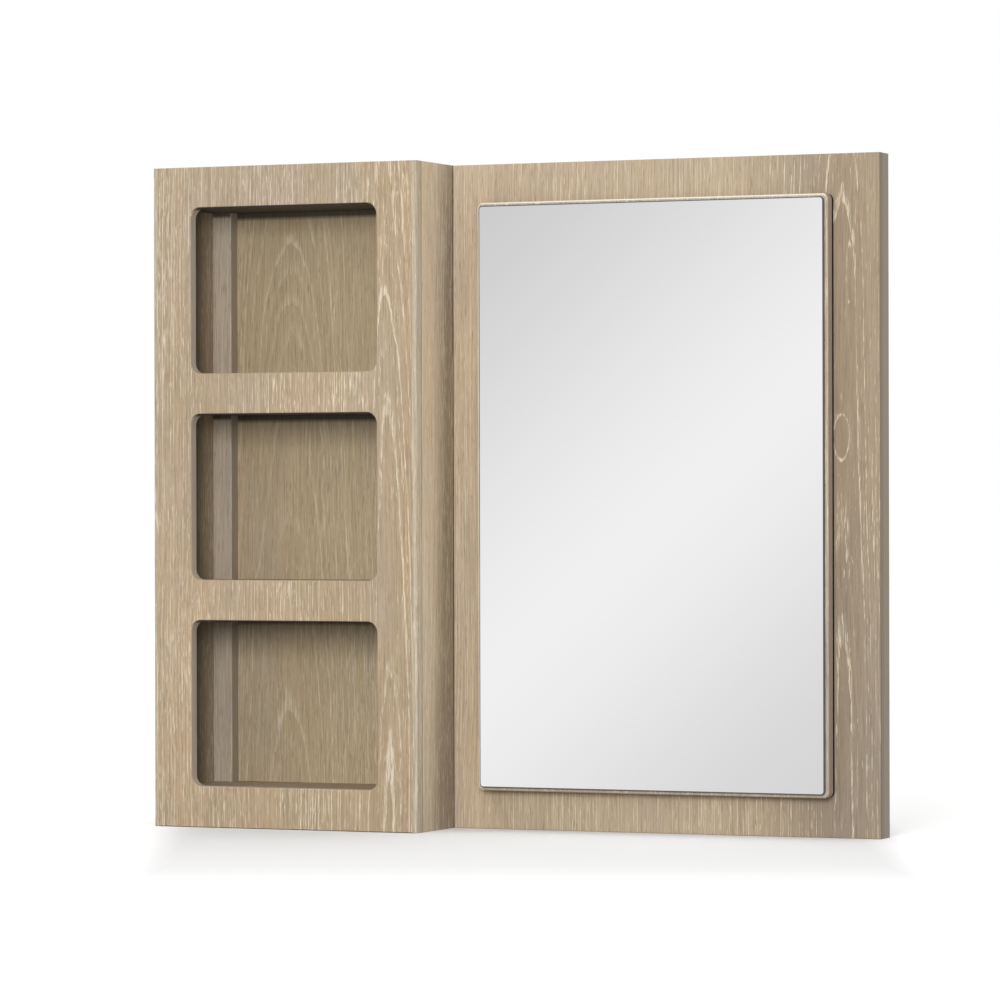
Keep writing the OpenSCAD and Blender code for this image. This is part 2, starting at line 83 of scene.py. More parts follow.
def grain_noise(tree, point, across, along, detail):
    """A noise drawn out along the grain, with so many cells in a metre across and along it."""
    cells = add(tree, "VectorMath", {0: point, 1: (across, across, along)}, operation="MULTIPLY")
    return add(tree, "TexNoise", {"Vector": cells.outputs[0], "Scale": 1.0, "Detail": detail})


def to_and_fro(tree, point, noise, throw):
    """Shifts a pattern across the grain by a noise, by up to half of throw either way."""
    swing = add(
        tree, "VectorMath", {0: noise.outputs["Color"], 1: (0.5, 0.5, 0.5)}, operation="SUBTRACT"
    )
    shifted = add(
        tree,
        "VectorMath",
        {0: swing.outputs[0], 1: (throw, throw, 0.0), 2: point},
        operation="MULTIPLY_ADD",
    )
    return shifted.outputs[0]


def growth_rings(tree, point, heart, lean, ring):
    """Counts the rings out from the heart: gives the spring wood's share, and the way out."""
    # The heart leans, so a flat face cuts the rings into tall arches
    parts = add(tree, "SeparateXYZ", {0: point})
    aside = add(tree, "Math", {0: parts.outputs["X"], 1: heart[0]}, operation="SUBTRACT")
    deep = add(tree, "Math", {0: parts.outputs["Y"], 1: heart[1]}, operation="SUBTRACT")
    under = add(
        tree,
        "Math",
        {0: parts.outputs["Z"], 1: lean, 2: deep.outputs[0]},
        operation="MULTIPLY_ADD",
    )
    spoke = add(tree, "CombineXYZ", {0: aside.outputs[0], 1: under.outputs[0]})
    reach = add(tree, "VectorMath", {0: spoke.outputs[0]}, operation="LENGTH").outputs["Value"]

    # Rings get closer outwards: their count grows with this power of the distance, and the scale
    # makes ring the width of one 300 mm out. Runs of good and poor years, some 40 mm wide, shift
    # them by a few rings
    closing = 1.2
    scale_at_300_mm = 0.943
    rings_shifted = 3.4
    runs = add(tree, "TexNoise", {"W": reach, "Scale": 26.0, "Detail": 1.0}, noise_dimensions="1D")
    drawn_in = add(tree, "Math", {0: reach, 1: closing}, operation="POWER")
    even = add(
        tree,
        "Math",
        {0: drawn_in.outputs[0], 1: 1 / (scale_at_300_mm * ring)},
        operation="MULTIPLY",
    )
    years = add(
        tree,
        "Math",
        {0: runs.outputs[0], 1: rings_shifted, 2: even.outputs[0]},
        operation="MULTIPLY_ADD",
    ).outputs[0]

    # A year opens with porous spring wood, which fades into the dense wood of summer
    season = add(tree, "Math", {0: years}, operation="FRACT")
    porous = add(tree, "ValToRGB", {0: season.outputs[0]})
    profile = ((0.0, 0.0), (0.06, 1.0), (0.24, 0.9), (0.45, 0.22), (1.0, 0.0))
    set_stops(porous, [(position, grey(level)) for position, level in profile])
    # In good years the spring wood is broad and open, in poor ones it hardly shows
    fortune = add(
        tree, "TexNoise", {"W": years, "Scale": 0.62, "Detail": 0.0}, noise_dimensions="1D"
    )
    vigour = add(
        tree,
        "MapRange",
        {"Value": fortune.outputs[0], "From Min": 0.36, "From Max": 0.66, "To Min": 0.12},
    )
    spring = add(
        tree, "Math", {0: porous.outputs["Color"], 1: vigour.outputs[0]}, operation="MULTIPLY"
    )
    return spring.outputs[0], reach


def closed_ring(tree, point, centre, halves):
    """The one closed ring that the saw leaves of an egg-shaped burl."""
    from_centre = add(tree, "VectorMath", {0: point, 1: centre}, operation="SUBTRACT")
    egg = add(tree, "VectorMath", {0: from_centre.outputs[0], 1: halves}, operation="DIVIDE")
    out = add(tree, "VectorMath", {0: egg.outputs[0]}, operation="LENGTH")
    past = add(tree, "Math", {0: out.outputs["Value"], 1: 1.0}, operation="SUBTRACT")
    apart = add(tree, "Math", {0: past.outputs[0]}, operation="ABSOLUTE")
    line = add(
        tree,
        "MapRange",
        {"Value": apart.outputs[0], "From Max": 0.13, "To Min": 1.15, "To Max": 0.0},
    )
    return line.outputs[0]


def limed_oak(
    name,
    heart,
    lean,
    early="#BBA88B",
    late="#AD987B",
    lime="#DED2BC",
    blush="#C7AA89",
    edge="#A39280",
    edge_axes=(0, 0, 0),
    ring=0.0029,
    tones=((0.0, 1.0), (1.0, 1.0)),
    turn=(0, 0, 0),
    lime_level=0.88,
    gather=0.24,
    scarce=1.06,
    eyes=(),
):
    """Limed oak cut from a log whose heart runs along the grain.

    heart is where the heart passes the board, across the grain, and lean is how far it tilts
    towards the face for each metre. ring is a year's growth 300 mm out, and turn lays the grain
    along another axis. early and late colour the spring and the summer wood, lime the wax, and
    blush the warm drifts. tones gives the wood's tone at some distances from the heart.
    edge_axes says along which axes the faces are board edges, which take the stain darker and
    greyer. lime_level is how white the wax is, gather how strictly the pores keep to the spring
    wood, and scarce how few of them hold wax. eyes are the centres and half sizes of egg-shaped
    burls, which the saw cuts into closed rings.
    """
    material, tree = blank_material(name)
    place = add(tree, "TexCoord")
    grain = add(
        tree, "Mapping", {"Vector": place.outputs["Object"], "Rotation": turn}
    ).outputs[0]
    # A slow sway over some 200 mm, and a wobble over some 15 mm, bend every ring
    sway = grain_noise(tree, grain, across=5.0, along=1.3, detail=2.0)
    swayed = to_and_fro(tree, grain, sway, throw=0.03)
    wobble = grain_noise(tree, grain, across=70.0, along=22.0, detail=3.0)
    bent = to_and_fro(tree, swayed, wobble, throw=0.0021)
    spring, reach = growth_rings(tree, bent, heart, lean, ring)
    for centre, halves in eyes:
        eye = closed_ring(tree, bent, centre, halves)
        spring = add(tree, "Math", {0: spring, 1: eye}, operation="MAXIMUM").outputs[0]

    # Some stretches of the board, 100 by 500 mm, took more wax than others
    drift = grain_noise(tree, grain, across=9.0, along=1.8, detail=3.0)
    patches = add(tree, "SeparateXYZ", {0: drift.outputs["Color"]})
    # Pores lie in the spring wood, in strokes some 24 mm long, and carry the white wax. They are
    # drawn 1.1 mm wide, wider than real ones, so that they show from a few metres. They stand in
    # rows 4 mm wide and 80 mm long
    rows = grain_noise(tree, bent, across=250.0, along=12.0, detail=2.0)
    pores = grain_noise(tree, bent, across=900.0, along=42.0, detail=2.0)
    # A pore holds wax where its own noise, the spring wood, its row and the patch add up
    crowd = add(
        tree, "Math", {0: spring, 1: gather, 2: pores.outputs[0]}, operation="MULTIPLY_ADD"
    )
    crowded = add(
        tree, "Math", {0: rows.outputs[0], 1: 0.4, 2: crowd.outputs[0]}, operation="MULTIPLY_ADD"
    )
    patchy = add(
        tree,
        "Math",
        {0: patches.outputs["Y"], 1: 0.45, 2: crowded.outputs[0]},
        operation="MULTIPLY_ADD",
    )
    wax = add(
        tree,
        "MapRange",
        {"Value": patchy.outputs[0], "From Min": scarce, "From Max": scarce + 0.13},
        interpolation_type="SMOOTHSTEP",
    ).outputs[0]

    # Wood between the pores: paler in spring wood, with a blush that drifts across the board
    wood = add(
        tree,
        "Mix",
        {"Factor": spring, 6: linear(late), 7: linear(early)},
        data_type="RGBA",
    )
    warmth = add(
        tree,
        "MapRange",
        {"Value": drift.outputs[0], "From Min": 0.45, "From Max": 0.75, "To Max": 0.6},
    )
    blushed = add(
        tree,
        "Mix",
        {"Factor": warmth.outputs[0], 6: wood.outputs[2], 7: linear(blush)},
        data_type="RGBA",
    )
    # A haze of wax that was not wiped off greys the wood in patches
    veil = add(
        tree,
        "MapRange",
        {"Value": patches.outputs["Z"], "From Min": 0.48, "From Max": 0.7, "To Max": 0.5},
    )
    hazed = add(
        tree,
        "Mix",
        {"Factor": veil.outputs[0], 6: blushed.outputs[2], 7: linear("#ADA092")},
        data_type="RGBA",
    )
    # Fibres 2 mm wide and 110 mm long are darker and lighter by a fifth
    fibre = grain_noise(tree, bent, across=520.0, along=9.0, detail=2.0)
    shade = add(
        tree,
        "MapRange",
        {
            "Value": fibre.outputs[0],
            "From Min": 0.25,
            "From Max": 0.75,
            "To Min": 0.8,
            "To Max": 1.2,
        },
    )
    # A ramp ends at 1, so it holds four fifths of each tone
    held = 0.8
    age = add(tree, "ValToRGB", {0: reach})
    set_stops(age, [(position, grey(tone * held)) for position, tone in tones])
    core = add(tree, "Math", {0: age.outputs["Color"], 1: 1 / held}, operation="MULTIPLY")
    toned = add(tree, "Math", {0: shade.outputs[0], 1: core.outputs[0]}, operation="MULTIPLY")
    streaked = add(
        tree, "VectorMath", {0: hazed.outputs[2], 3: toned.outputs[0]}, operation="SCALE"
    )
    # Here and there a pore has lost its wax and shows as a short brown stroke
    spots = add(tree, "SeparateXYZ", {0: pores.outputs["Color"]})
    bare = add(
        tree,
        "MapRange",
        {"Value": spots.outputs["Y"], "From Min": 0.56, "From Max": 0.7, "To Max": 0.5},
    )
    pitted = add(
        tree,
        "Mix",
        {"Factor": bare.outputs[0], 6: streaked.outputs[0], 7: linear("#84694C")},
        data_type="RGBA",
    )
    share = add(tree, "Math", {0: wax, 1: lime_level}, operation="MULTIPLY")
    waxed = add(
        tree,
        "Mix",
        {"Factor": share.outputs[0], 6: pitted.outputs[2], 7: linear(lime)},
        data_type="RGBA",
    )
    colour = waxed.outputs[2]
    if any(edge_axes):
        facing = add(
            tree, "VectorMath", {0: place.outputs["Normal"], 1: edge_axes}, operation="MULTIPLY"
        )
        turned = add(tree, "VectorMath", {0: facing.outputs[0]}, operation="LENGTH")
        on_edge = add(
            tree,
            "MapRange",
            {
                "Value": turned.outputs["Value"],
                "From Min": 0.75,
                "From Max": 0.9,
                "To Max": 0.7,
            },
        )
        stained = add(
            tree,
            "Mix",
            {"Factor": on_edge.outputs[0], 6: colour, 7: linear(edge)},
            data_type="RGBA",
        )
        colour = stained.outputs[2]

    # Wax dries more matt than the lacquered wood, and lies a little below the fibres
    sheen = add(tree, "MapRange", {"Value": wax, "To Min": 0.6, "To Max": 0.75})
    relief = add(tree, "Math", {0: fibre.outputs[0], 1: 0.35, 2: wax}, operation="SUBTRACT")
    bump = add(
        tree, "Bump", {"Strength": 0.35, "Distance": 0.0003, "Height": relief.outputs[0]}
    )
    shader = add(
        tree,
        "BsdfPrincipled",
        {
            "Base Color": colour,
            "Roughness": sheen.outputs[0],
            "IOR": 1.5,
            "Specular IOR Level": 0.3,
            "Normal": bump.outputs[0],
        },
    )
    add(tree, "OutputMaterial", {"Surface": shader.outputs[0]})
    return material


def finish(node, material):
    """Gives a piece its material in every slot."""
    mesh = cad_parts[node].data
    if not mesh.materials:
        mesh.materials.append(material)
    for i in range(len(mesh.materials)):
        mesh.materials[i] = material


def stain_and_painted_light(material, mask, colour):
    """Lays a colour over a material's colour where the mask is 1: stains, joints, painted shade
    and painted highlights.
    """
    tree = material.node_tree
    base = tree.nodes["Principled BSDF"].inputs["Base Color"]
    layer = add(
        tree,
        "Mix",
        {"Factor": mask, 6: base.links[0].from_socket, 7: linear(colour)},
        data_type="RGBA",
    )
    tree.links.new(layer.outputs[2], base)


def towards(tree, direction):
    """A mask that is 1 on the faces that look one way."""
    place = add(tree, "TexCoord")
    facing = add(
        tree, "VectorMath", {0: place.outputs["Normal"], 1: direction}, operation="DOT_PRODUCT"
    )
    mask = add(
        tree, "MapRange", {"Value": facing.outputs["Value"], "From Min": 0.75, "From Max": 0.95}
    )
    return mask.outputs[0]


def paint_light_on_faces(material, direction, share, colour=painted_shade_colour):
    """Paints shade, or with a pale colour a highlight, on the faces that look one way."""
    tree = material.node_tree
    mask = add(tree, "Math", {0: towards(tree, direction), 1: share}, operation="MULTIPLY")
    stain_and_painted_light(material, mask.outputs[0], colour)


frame_oak = limed_oak(
    "limed oak, window frame",
    heart=(-0.172, -0.118),
    lean=0.034,
    edge="#C2B6AA",
    edge_axes=(1, 0, 1),
)
# Painted shade: the undersides of the rails, and the arrises along them, are darkened.
paint_light_on_faces(frame_oak, (0, 0, -1), 0.94)
paint_light_on_faces(frame_oak, (0, -0.7, -0.7), 0.9)
finish("face_frame", frame_oak)


# ---------- corner lippings ----------
# Narrow strips of solid oak glued along the front corners and rounded over, so that no veneer
# edge is open to knocks. They are finished with the frame, and are a touch paler.

lipping_oak = limed_oak(
    "limed solid oak, lippings",
    heart=(-0.7, -0.5),
    lean=0.02,
    early="#C6BAA4",
    late="#B7AA93",
    ring=0.0022,
)
finish("corner_lipping_left", lipping_oak)
finish("corner_lipping_right", lipping_oak)


# ---------- side panels ----------
# Upright veneered panels, butted against the window frame's back and screwed from the rear.
# Inside, painted shadow of the frame's stile darkens the front corner and fades towards the back.

# How far the heart of the log lies outside each panel's outer face
heart_off = 0.28
# How far behind the panel's front edge the painted shadow begins to fade, and where it has gone
inside_dark = 0.07
inside_clear = 0.118


def joint_and_shade_line(material, axis, at, width, share=0.7, colour="#43382C", direction=None):
    """Draws a dark line across one axis, for the wax and glue of a joint and for painted shade.

    Where direction is given, only the faces that look that way have the line.
    """
    tree = material.node_tree
    place = add(tree, "TexCoord")
    parts = add(tree, "SeparateXYZ", {0: place.outputs["Object"]})
    off = add(tree, "Math", {0: parts.outputs[axis], 1: at}, operation="SUBTRACT")
    gap = add(tree, "Math", {0: off.outputs[0]}, operation="ABSOLUTE")
    mask = add(
        tree,
        "MapRange",
        {
            "Value": gap.outputs[0],
            "From Min": width * 0.5,
            "From Max": width,
            "To Min": share,
            "To Max": 0,
        },
    ).outputs[0]
    if direction:
        mask = add(
            tree, "Math", {0: mask, 1: towards(tree, direction)}, operation="MULTIPLY"
        ).outputs[0]
    stain_and_painted_light(material, mask, colour)


for side, inward in (("left", 1), ("right", -1)):
    low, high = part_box(f"side_panel_{side}")
    outer_x = low[0] if inward > 0 else high[0]
    # The tones make each panel lighter towards its front and darker towards its rear: painted
    # light and shade
    side_oak = limed_oak(
        f"limed oak, {side} side panel",
        heart=(outer_x - inward * heart_off, -0.62),
        lean=-0.04,
        early="#CDBC9F",
        late="#BEAB8E",
        edge_axes=(0, 0, 1),
        tones=((0.57, 1.24), (0.632, 1.14), (0.675, 0.68)),
    )
    tree = side_oak.node_tree
    place = add(tree, "TexCoord")
    parts = add(tree, "SeparateXYZ", {0: place.outputs["Object"]})
    corner = add(
        tree,
        "MapRange",
        {
            "Value": parts.outputs["Y"],
            "From Min": low[1] + inside_dark,
            "From Max": low[1] + inside_clear,
            "To Min": 0.85,
            "To Max": 0.0,
        },
    )
    # Painted shadow of the window frame's stile on the inner face
    stile_shadow = add(
        tree,
        "Math",
        {0: towards(tree, (inward, 0, 0)), 1: corner.outputs[0]},
        operation="MULTIPLY",
    )
    stain_and_painted_light(side_oak, stile_shadow.outputs[0], painted_shade_colour)
    # The joint with the lipping in front shows as a fine dark line
    joint_and_shade_line(side_oak, "Y", low[1], width=0.0022)
    finish(f"side_panel_{side}", side_oak)


# ---------- top, bottom, floors and shelves ----------
# Veneered panels whose grain runs from side to side. Each shelf is two skins on a core of
# battens, as thick as the rail in front of it. Their undersides are darkened by painted shade.

lengthways = (0, -math.pi / 2, 0)
level_oak = limed_oak(
    "limed oak, level panels",
    heart=(-0.9, 0.35),
    lean=0.04,
    early="#B09F84",
    late="#98866C",
    turn=lengthways,
    edge_axes=(1, 0, 0),
)
# Painted shade on the undersides
paint_light_on_faces(level_oak, (0, 0, -1), 0.9)
for node in (
    "top_panel",
    "bottom_panel",
    "top_liner",
    "floor_liner",
    "upper_shelf_top_skin",
    "upper_shelf_bottom_skin",
    "lower_shelf_top_skin",
    "lower_shelf_bottom_skin",
):
    finish(node, level_oak)


# ---------- battens and dowels ----------
# Planed poplar battens inside the hollow panels, and fluted beech dowels, all raw wood. They
# show only where a joint is taken apart.


def raw_wood(name, pale, dark):
    """Planed raw wood with soft, close rings and no pores, its grain from side to side."""
    material, tree = blank_material(name)
    place = add(tree, "TexCoord")
    grain = add(tree, "Mapping", {"Vector": place.outputs["Object"], "Rotation": lengthways})
    # Growth rings some 4 mm wide, drawn out along the grain
    rings = grain_noise(tree, grain.outputs[0], across=240.0, along=6.0, detail=3.0)
    wood = add(
        tree,
        "Mix",
        {"Factor": rings.outputs[0], 6: linear(dark), 7: linear(pale)},
        data_type="RGBA",
    )
    bump = add(tree, "Bump", {"Strength": 0.2, "Distance": 0.0002, "Height": rings.outputs[0]})
    shader = add(
        tree,
        "BsdfPrincipled",
        {
            "Base Color": wood.outputs[2],
            "Roughness": 0.72,
            "IOR": 1.5,
            "Normal": bump.outputs[0],
        },
    )
    add(tree, "OutputMaterial", {"Surface": shader.outputs[0]})
    return material


poplar = raw_wood("planed poplar", "#D3C29A", "#B9A77A")
for node in ("top_battens", "bottom_battens", "upper_shelf_core", "lower_shelf_core"):
    finish(node, poplar)
beech = raw_wood("beech dowel", "#D8B68C", "#C49C70")
for node in ("case_dowels", "shelf_dowels", "frame_dowels"):
    finish(node, beech)


# ---------- back panel of the box ----------
# A thin veneered panel, pinned into the rabbets of the rear frame. Its cathedral grain is what
# one sees through the windows. Painted shade darkens it just under the top and the shelves.


def paint_shade_under_shelves(material, reach, share):
    """Paints shade on the front faces just under the top and the shelves."""
    for node in ("top_liner", "upper_shelf_bottom_skin", "lower_shelf_bottom_skin"):
        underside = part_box(node)[0][2]
        joint_and_shade_line(material, "Z", underside, reach, share, painted_shade_colour, (0, -1, 0))


back_oak = limed_oak(
    "limed oak, back panel",
    heart=(-0.423, -0.014),
    lean=0.05,
    early="#BCAB8B",
    late="#B2A080",
    lime="#DCD2BC",
    blush="#BDA486",
    ring=0.0030,
    gather=0.2,
    scarce=1.09,
    lime_level=0.5,
)
paint_shade_under_shelves(back_oak, reach=0.013, share=0.85)
finish("box_back_panel", back_oak)


# ---------- rear frame ----------
# Stiles and rails of solid oak behind the boards, doweled together. The left stile shows as a
# post at the back of each compartment, and the right stile as the rear layer of the right end.

stile_oak = limed_oak(
    "limed oak, stiles",
    heart=(0.1, -0.75),
    lean=0.03,
    early="#C6BAA6",
    late="#B5A893",
    lime="#D6CCBA",
    blush="#BFAF9C",
    edge="#9A8F80",
    edge_axes=(1, 0, 1),
    lime_level=0.4,
)
# Painted shade on the post just under the top and the shelves
paint_shade_under_shelves(stile_oak, reach=0.009, share=0.8)
for node in ("back_stile_left", "back_stile_middle", "back_stile_right"):
    finish(node, stile_oak)
rail_oak = limed_oak(
    "limed oak, rails",
    heart=(-1.4, 0.4),
    lean=0.03,
    early="#B4A58E",
    late="#A0907A",
    lime="#CBC0AC",
    turn=lengthways,
    lime_level=0.4,
)
for node in (
    "box_rail_top",
    "box_rail_bottom",
    "mirror_rail_top",
    "mirror_rail_middle",
    "mirror_rail_bottom",
):
    finish(node, rail_oak)


# ---------- mirror board ----------
# A wide veneered board with upright grain: straight beside the box, and cut through the heart
# near its right end, where the rings stand as tall pointed arches. The bed of the mirror block
# is painted dark up to its outline, painted shade so the gap round the block's back reads black.

face_layer = 0.0045
gap_shade_colour = "#17120D"
bed_radius = 0.009
bed_softness = 0.0004
groove_t = 0.003
groove_in = 0.002
board_low, board_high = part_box("mirror_board")
block_low, block_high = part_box("mirror_backer")

board_oak = limed_oak(
    "limed oak, mirror board",
    heart=(0.510, 0.026),
    lean=0.03,
    edge="#958775",
    edge_axes=(1, 0, 1),
    early="#C3B298",
    late="#B4A187",
    lime="#E4D8BC",
    blush="#C2AA8C",
    lime_level=0.75,
    gather=0.26,
    scarce=1.12,
    eyes=(
        ((0.512, board_low[1], 0.595), (0.0115, 0.01, 0.034)),
        ((0.520, board_low[1], 0.839), (0.0045, 0.01, 0.048)),
    ),
    # Darker near the heart; the last stop lightens the strip beside the box, painted light against
    # the box's shade
    tones=((0.03, 0.66), (0.09, 0.84), (0.2, 1.02), (0.56, 1.02), (0.6, 1.14)),
)
# The raw core shows as a darker line behind the face layer
joint_and_shade_line(board_oak, "Y", board_low[1] + face_layer, width=0.002, share=0.35)
# So does the joint with the rear frame
joint_and_shade_line(board_oak, "Y", board_high[1], width=0.0015)

tree = board_oak.node_tree
place = add(tree, "TexCoord")
middle = [(block_low[i] + block_high[i]) / 2 for i in (0, 2)]
from_middle = add(
    tree,
    "VectorMath",
    {0: place.outputs["Object"], 1: (middle[0], 0, middle[1])},
    operation="SUBTRACT",
)
folded = add(tree, "VectorMath", {0: from_middle.outputs[0]}, operation="ABSOLUTE")
straight = [(block_high[i] - block_low[i]) / 2 - bed_radius for i in (0, 2)]
past = add(
    tree,
    "VectorMath",
    {0: folded.outputs[0], 1: (straight[0], 1, straight[1])},
    operation="SUBTRACT",
)
round_corner = add(tree, "VectorMath", {0: past.outputs[0], 1: (0, 0, 0)}, operation="MAXIMUM")
outline = add(tree, "VectorMath", {0: round_corner.outputs[0]}, operation="LENGTH")
# Painted shade on the front face, up to the block's outline
gap_shade = add(
    tree,
    "MapRange",
    {
        "Value": outline.outputs["Value"],
        "From Min": bed_radius - bed_softness,
        "From Max": bed_radius + bed_softness,
        "To Min": 1.0,
        "To Max": 0.0,
    },
)
gap_shade_front = add(
    tree, "Math", {0: gap_shade.outputs[0], 1: towards(tree, (0, -1, 0))}, operation="MULTIPLY"
)
stain_and_painted_light(board_oak, gap_shade_front.outputs[0], gap_shade_colour)
# The same painted shade fills the groove beside the box
groove_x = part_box("side_panel_right")[1][0] - groove_in
joint_and_shade_line(board_oak, "X", groove_x, groove_t, 0.9, gap_shade_colour)
finish("mirror_board", board_oak)


# ---------- mirror block ----------
# A thick round-cornered block behind the pane, screwed from the rear through the board. Only its
# rim shows, with a soft front arris. The upper and the left arris are painted cream: a painted
# highlight.

highlight_cream = "#F6F0E2"
block_oak = limed_oak(
    "limed oak, mirror block",
    heart=(0.1, -0.4),
    lean=0.03,
    early="#C8BCAA",
    late="#B8AB98",
    edge="#A09287",
    edge_axes=(1, 0, 1),
)
# Painted highlight along the upper and the left arris
paint_light_on_faces(block_oak, (0, -0.7, 0.7), 0.85, highlight_cream)
paint_light_on_faces(block_oak, (-0.7, -0.7, 0), 0.85, highlight_cream)
finish("mirror_backer", block_oak)


# ---------- bonding strips ----------
# Strips of dark closed-cell foam tape, sticky on both faces, that hold the pane to the block. The
# cut cells give them a dull, fine mottle.


def plain(name, colour, roughness, spots, dark, metallic=0.0):
    """A finish of one colour with a fine mottle, its spots in millimetres."""
    material, tree = blank_material(name)
    place = add(tree, "TexCoord")
    mottle = add(
        tree,
        "TexNoise",
        {"Vector": place.outputs["Object"], "Scale": 1000 / spots, "Detail": 3.0},
    )
    tint = add(
        tree,
        "Mix",
        {"Factor": mottle.outputs[0], 6: linear(dark), 7: linear(colour)},
        data_type="RGBA",
    )
    gloss = add(
        tree,
        "MapRange",
        {"Value": mottle.outputs[0], "To Min": roughness * 0.8, "To Max": roughness * 1.2},
    )
    bump = add(tree, "Bump", {"Strength": 0.15, "Distance": 0.0001, "Height": mottle.outputs[0]})
    shader = add(
        tree,
        "BsdfPrincipled",
        {
            "Base Color": tint.outputs[2],
            "Metallic": metallic,
            "Roughness": gloss.outputs[0],
            "Normal": bump.outputs[0],
        },
    )
    add(tree, "OutputMaterial", {"Surface": shader.outputs[0]})
    return material


finish("mirror_tape", plain("closed-cell foam", "#2B2B2C", 0.85, 0.6, "#1A1A1B"))


# ---------- mirror pane ----------
# Float glass, silvered, with a ground and polished bevel round its edge. The face gives a clean
# mirror image; the bevel and the edge show the glass's own dark grey.

silvered, tree = blank_material("silvered float glass")
place = add(tree, "TexCoord")
split = add(tree, "SeparateXYZ", {0: place.outputs["Normal"]})
# Only what looks straight ahead is the face: the bevel leans back from it
face = add(
    tree,
    "MapRange",
    {
        "Value": split.outputs["Y"],
        "From Min": -0.995,
        "From Max": -0.98,
        "To Min": 1.0,
        "To Max": 0.0,
    },
)
# A float line: a faint ripple some 60 mm wide that is seen only where the image bends
ripple = add(tree, "TexNoise", {"Vector": place.outputs["Object"], "Scale": 16.0, "Detail": 0.0})
wave = add(tree, "Bump", {"Strength": 0.02, "Distance": 0.0001, "Height": ripple.outputs[0]})
silver = add(
    tree,
    "BsdfPrincipled",
    {
        "Base Color": linear("#F1F1F1"),
        "Metallic": 1.0,
        "Roughness": 0.015,
        "Normal": wave.outputs[0],
    },
)
glass_edge = add(
    tree, "BsdfPrincipled", {"Base Color": linear("#4C4D4D"), "Roughness": 0.18, "IOR": 1.52}
)
pane = add(tree, "MixShader", {0: face.outputs[0], 1: glass_edge.outputs[0], 2: silver.outputs[0]})
add(tree, "OutputMaterial", {"Surface": pane.outputs[0]})
finish("mirror_glass", silvered)


# ---------- screws and pins ----------
# Zinc-plated steel screws and pins, driven from the rear. The plating is a bright bluish grey
# with a faint mottle of crystals.

zinc = plain("zinc-plated steel", "#C3C6C8", 0.34, 1.5, "#A4A7AA", metallic=1.0)
for node in ("case_screws", "frame_screws", "backer_screws", "back_panel_pins", "hanger_screws"):
    finish(node, zinc)


# ---------- hangers ----------
# Pressed steel straps with a rolled loop, each holding a wire ring, all zinc-plated. The rings
# are drawn wire, so they are smoother than the straps.

for node in ("hanger_strap_left", "hanger_strap_right"):
    finish(node, zinc)
wire = plain("zinc-plated wire", "#CDCFD0", 0.24, 4.0, "#B6B9BB", metallic=1.0)
for node in ("hanger_ring_left", "hanger_ring_right"):
    finish(node, wire)


# ---------- support inserts and bumpers ----------
# Turned brass inserts, yellow and a little tarnished, for the bolts of two support boards. The
# wall bumpers are moulded of soft black rubber, and are dull.

finish("support_inserts", plain("turned brass", "#C9A860", 0.3, 2.0, "#B08E48", metallic=1.0))
finish("wall_bumpers", plain("soft black rubber", "#2A2A2A", 0.75, 0.8, "#1B1B1B"))


# ---------- floor ----------
# White paper that keeps the soft contact shadow. Past a patch before the object it is lit from
# below, so that it runs into the white; the patch lies square to the camera's view. The pane
# doesn't show the floor, but the screen in the next section.

yaw = math.radians(23.556)
patch_middle = (0.01, -0.25, 0)
beyond = 0.32


def looked_at(tree):
    """A mask of 1 for the camera, and for what gloss and glass show."""
    path = add(tree, "LightPath")
    seen = add(
        tree,
        "Math",
        {0: path.outputs["Is Camera Ray"], 1: path.outputs["Is Glossy Ray"]},
        operation="MAXIMUM",
    )
    seen_too = add(
        tree,
        "Math",
        {0: seen.outputs[0], 1: path.outputs["Is Transmission Ray"]},
        operation="MAXIMUM",
    )
    return seen_too.outputs[0]


bpy.ops.mesh.primitive_plane_add(size=30, location=(0, 0, 0))
floor = bpy.context.object
floor.name = "floor"
paper, tree = blank_material("white paper floor")
matt = add(tree, "BsdfDiffuse", {"Color": grey(0.96)})
place = add(tree, "TexCoord")
square_on = add(
    tree,
    "VectorRotate",
    {"Vector": place.outputs["Object"], "Angle": -yaw},
    rotation_type="Z_AXIS",
)
off_patch = add(
    tree, "VectorMath", {0: square_on.outputs[0], 1: patch_middle}, operation="SUBTRACT"
)
away = add(tree, "VectorMath", {0: off_patch.outputs[0]}, operation="ABSOLUTE")
ways = add(tree, "SeparateXYZ", {0: away.outputs[0]})
beside = add(
    tree,
    "MapRange",
    {"Value": ways.outputs["X"], "From Min": 0.49, "From Max": 0.585, "To Max": beyond},
    interpolation_type="SMOOTHSTEP",
)
before = add(
    tree,
    "MapRange",
    {"Value": ways.outputs["Y"], "From Min": 0.4, "From Max": 1.3, "To Max": beyond},
    interpolation_type="SMOOTHSTEP",
)
lift = add(tree, "Math", {0: beside.outputs[0], 1: before.outputs[0]}, operation="MAXIMUM")
glow = add(tree, "Emission", {"Color": grey(1), "Strength": lift.outputs[0]})
both = add(tree, "AddShader", {0: matt.outputs[0], 1: glow.outputs[0]})
bounce = add(tree, "BsdfDiffuse", {"Color": grey(0.4)})
choose = add(tree, "MixShader", {0: looked_at(tree), 1: bounce.outputs[0], 2: both.outputs[0]})
add(tree, "OutputMaterial", {"Surface": choose.outputs[0]})
floor.data.materials.append(paper)
floor.visible_glossy = False


# ---------- reflection screen ----------
# A grey-white cloth before the object, which only the pane's reflection sees. A band of light
# lies across it on a slant.

screen_size = 5.0
screen_middle = (-1.75, -4.9, 0.51)
shown_halves = (0.48, 0.76)
slope = (0.35, -0.65)

bpy.ops.object.select_all(action="DESELECT")
bpy.ops.mesh.primitive_plane_add(
    size=screen_size, location=screen_middle, rotation=(math.radians(90), 0, 0)
)
screen = bpy.context.object
screen.name = "reflection_screen"
cloth, tree = blank_material("grey-white screen")
place = add(tree, "TexCoord")
